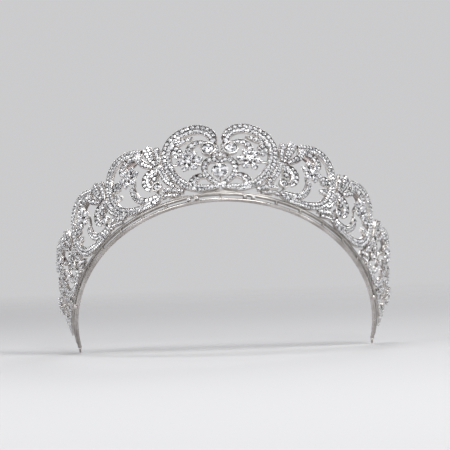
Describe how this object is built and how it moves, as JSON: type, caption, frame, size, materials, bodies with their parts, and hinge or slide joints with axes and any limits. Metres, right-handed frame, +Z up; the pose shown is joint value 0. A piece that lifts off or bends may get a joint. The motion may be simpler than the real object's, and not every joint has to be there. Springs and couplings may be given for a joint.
{
  "type": "bridal tiara",
  "caption": "Rigid openwork tiara on a horseshoe frame, with a scroll and heart centre, stepped scroll panels, flowers and collet-set stones.",
  "frame": {"origin": "centre of the head opening, level with the middle of the rail plane at the widest part of the head", "axes": "worn attitude: +X to the viewer's right across the head, -Y forward out of the front of the tiara, +Z up; the rail plane is tipped up 40 degrees at the front"},
  "size_m": [0.1652, 0.0946, 0.109],
  "materials": {
    "setting_metal": "bright white metal, pave set",
    "rail_metal": "polished white metal",
    "gem": "clear faceted stones"
  },
  "bodies": {
    "root": {"frame_rail": "rail_metal", "gallery_strip": "rail_metal", "rail_posts": "rail_metal", "frame_screws": "rail_metal", "end_eyelets": "rail_metal", "centre_scroll_l": "setting_metal", "centre_scroll_r": "setting_metal", "centre_inner_scroll_l": "setting_metal", "centre_inner_scroll_r": "setting_metal", "centre_leaf_l": "setting_metal", "centre_leaf_r": "setting_metal", "heart_frame": "setting_metal", "base_curl_l": "setting_metal", "base_curl_r": "setting_metal", "centre_arch": "setting_metal", "main_setting": "setting_metal", "main_gem": "gem", "centre_collets": "setting_metal", "centre_collet_gems": "gem", "centre_flower_l": "setting_metal", "centre_flower_r": "setting_metal", "panel1_scroll_l": "setting_metal", "panel1_palmette_l": "setting_metal", "panel1_calyx_l": "setting_metal", "panel1_leaves_l": "setting_metal", "panel1_flower_l": "setting_metal", "panel1_scroll_r": "setting_metal", "panel1_palmette_r": "setting_metal", "panel1_calyx_r": "setting_metal", "panel1_leaves_r": "setting_metal", "panel1_flower_r": "setting_metal", "panel2_scroll_l": "setting_metal", "panel2_palmette_l": "setting_metal", "panel2_calyx_l": "setting_metal", "panel2_leaves_l": "setting_metal", "panel2_flower_l": "setting_metal", "panel2_scroll_r": "setting_metal", "panel2_palmette_r": "setting_metal", "panel2_calyx_r": "setting_metal", "panel2_leaves_r": "setting_metal", "panel2_flower_r": "setting_metal", "panel3_scroll_l": "setting_metal", "panel3_palmette_l": "setting_metal", "panel3_calyx_l": "setting_metal", "panel3_leaves_l": "setting_metal", "panel3_flower_l": "setting_metal", "panel3_scroll_r": "setting_metal", "panel3_palmette_r": "setting_metal", "panel3_calyx_r": "setting_metal", "panel3_leaves_r": "setting_metal", "panel3_flower_r": "setting_metal", "panel_collets": "setting_metal", "panel_collet_gems": "gem", "flower_gems": "gem", "end_panel_l": "setting_metal", "end_panel_r": "setting_metal", "end_flower_l": "setting_metal", "end_flower_r": "setting_metal"}
  },
  "joints": []
}
